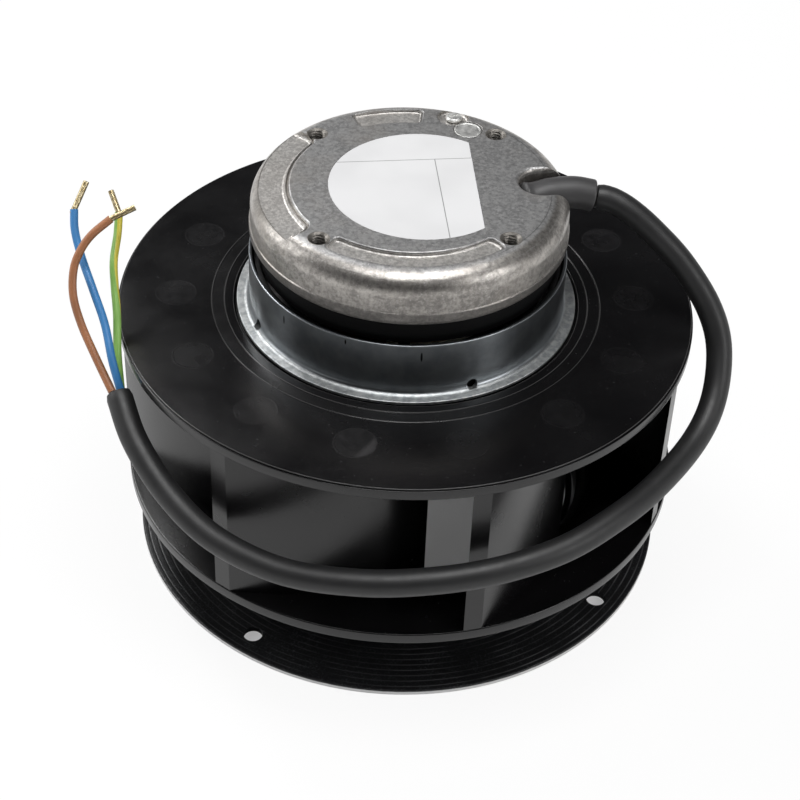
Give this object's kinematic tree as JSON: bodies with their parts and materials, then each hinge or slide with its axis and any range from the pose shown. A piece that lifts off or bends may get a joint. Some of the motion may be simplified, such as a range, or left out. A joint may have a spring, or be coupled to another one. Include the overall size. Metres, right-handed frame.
{
  "type": "centrifugal fan",
  "caption": "Backward-curved centrifugal fan with external-rotor motor, cast motor flange, inlet ring and a cable with bared cores.",
  "frame": {"origin": "on the fan's axis, in the plane of the inlet ring's underside", "axes": "+Z along the fan's axis from the inlet to the motor's mounting face, +X towards the cable's way out of the motor"},
  "size_m": [0.1525, 0.1417, 0.0975],
  "materials": {
    "impeller_plastic": "satin moulded",
    "inlet_ring_black": "black coated spun sheet",
    "rotor_steel": "drawn steel",
    "galvanised_steel": "zinc coated",
    "rotor_lamination": "stacked sheet",
    "cage_aluminium": "cast",
    "shaft_steel": "ground",
    "bearing_steel": "polished",
    "cage_brass": "pressed",
    "spring_steel": "hardened",
    "stator_lamination": "stacked sheet",
    "insulator_plastic": "moulded",
    "winding_enamel": "enamelled copper",
    "shading_copper": "bare copper",
    "protector_case": "moulded",
    "cover_plastic": "moulded",
    "die_cast_aluminium": "die cast",
    "screw_zinc": "zinc plated",
    "label_film": "satin film",
    "cable_jacket": "satin",
    "sleeve_rubber": "satin",
    "insulation_blue": "satin",
    "insulation_brown": "satin",
    "insulation_green_yellow": "satin, striped",
    "tinned_copper": "stranded, tinned copper",
    "lead_sheath": "braided"
  },
  "bodies": {
    "stator": {"inlet_ring": "inlet_ring_black", "lower_bearing_outer_ring": "bearing_steel", "upper_bearing_outer_ring": "bearing_steel", "bearing_spacer": "spring_steel", "preload_wave_spring": "spring_steel", "bearing_retaining_ring": "spring_steel", "stator_core": "stator_lamination", "insulator_upper": "insulator_plastic", "insulator_lower": "insulator_plastic", "coil_left": "winding_enamel", "coil_right": "winding_enamel", "shading_ring_left": "shading_copper", "shading_ring_right": "shading_copper", "thermal_protector": "protector_case", "winding_cover": "cover_plastic", "motor_flange": "die_cast_aluminium", "earth_screw": "screw_zinc", "blanking_disc": "screw_zinc", "rating_label": "label_film", "power_cable": "cable_jacket", "cable_sleeve": "sleeve_rubber", "core_blue": "insulation_blue", "core_brown": "insulation_brown", "core_green_yellow": "insulation_green_yellow", "conductor_blue": "tinned_copper", "conductor_brown": "tinned_copper", "conductor_green_yellow": "tinned_copper", "lead_a": "lead_sheath", "lead_b": "lead_sheath", "lead_c": "lead_sheath"},
    "rotor": {"impeller_wheel": "impeller_plastic", "impeller_cover_ring": "impeller_plastic", "rotor_cup": "rotor_steel", "rotor_collar": "galvanised_steel", "rotor_lamination_ring": "rotor_lamination", "cage_ring_lower": "cage_aluminium", "cage_ring_upper": "cage_aluminium", "rotor_hub": "rotor_steel", "shaft": "shaft_steel", "shaft_circlip": "shaft_steel", "lower_bearing_inner_ring": "bearing_steel", "upper_bearing_inner_ring": "bearing_steel"},
    "lower_ball_set": {"lower_bearing_ball_1": "bearing_steel", "lower_bearing_ball_2": "bearing_steel", "lower_bearing_ball_3": "bearing_steel", "lower_bearing_ball_4": "bearing_steel", "lower_bearing_ball_5": "bearing_steel", "lower_bearing_ball_6": "bearing_steel", "lower_bearing_ball_7": "bearing_steel", "lower_bearing_cage": "cage_brass"},
    "upper_ball_set": {"upper_bearing_ball_1": "bearing_steel", "upper_bearing_ball_2": "bearing_steel", "upper_bearing_ball_3": "bearing_steel", "upper_bearing_ball_4": "bearing_steel", "upper_bearing_ball_5": "bearing_steel", "upper_bearing_ball_6": "bearing_steel", "upper_bearing_ball_7": "bearing_steel", "upper_bearing_cage": "cage_brass"}
  },
  "joints": [
    {"name": "rotor_spin", "type": "hinge", "parent": "stator", "child": "rotor", "pos_m": [0, 0, 0.0664], "axis": [0, 0, 1], "continuous": true},
    {"name": "lower_balls_orbit", "type": "hinge", "parent": "stator", "child": "lower_ball_set", "pos_m": [0, 0, 0.0535], "axis": [0, 0, 1], "continuous": true},
    {"name": "upper_balls_orbit", "type": "hinge", "parent": "stator", "child": "upper_ball_set", "pos_m": [0, 0, 0.0855], "axis": [0, 0, 1], "continuous": true}
  ],
  "couplings": [
    {"joint": "lower_balls_orbit", "follows": "rotor_spin", "ratio": 0.3677},
    {"joint": "upper_balls_orbit", "follows": "rotor_spin", "ratio": 0.3677}
  ]
}
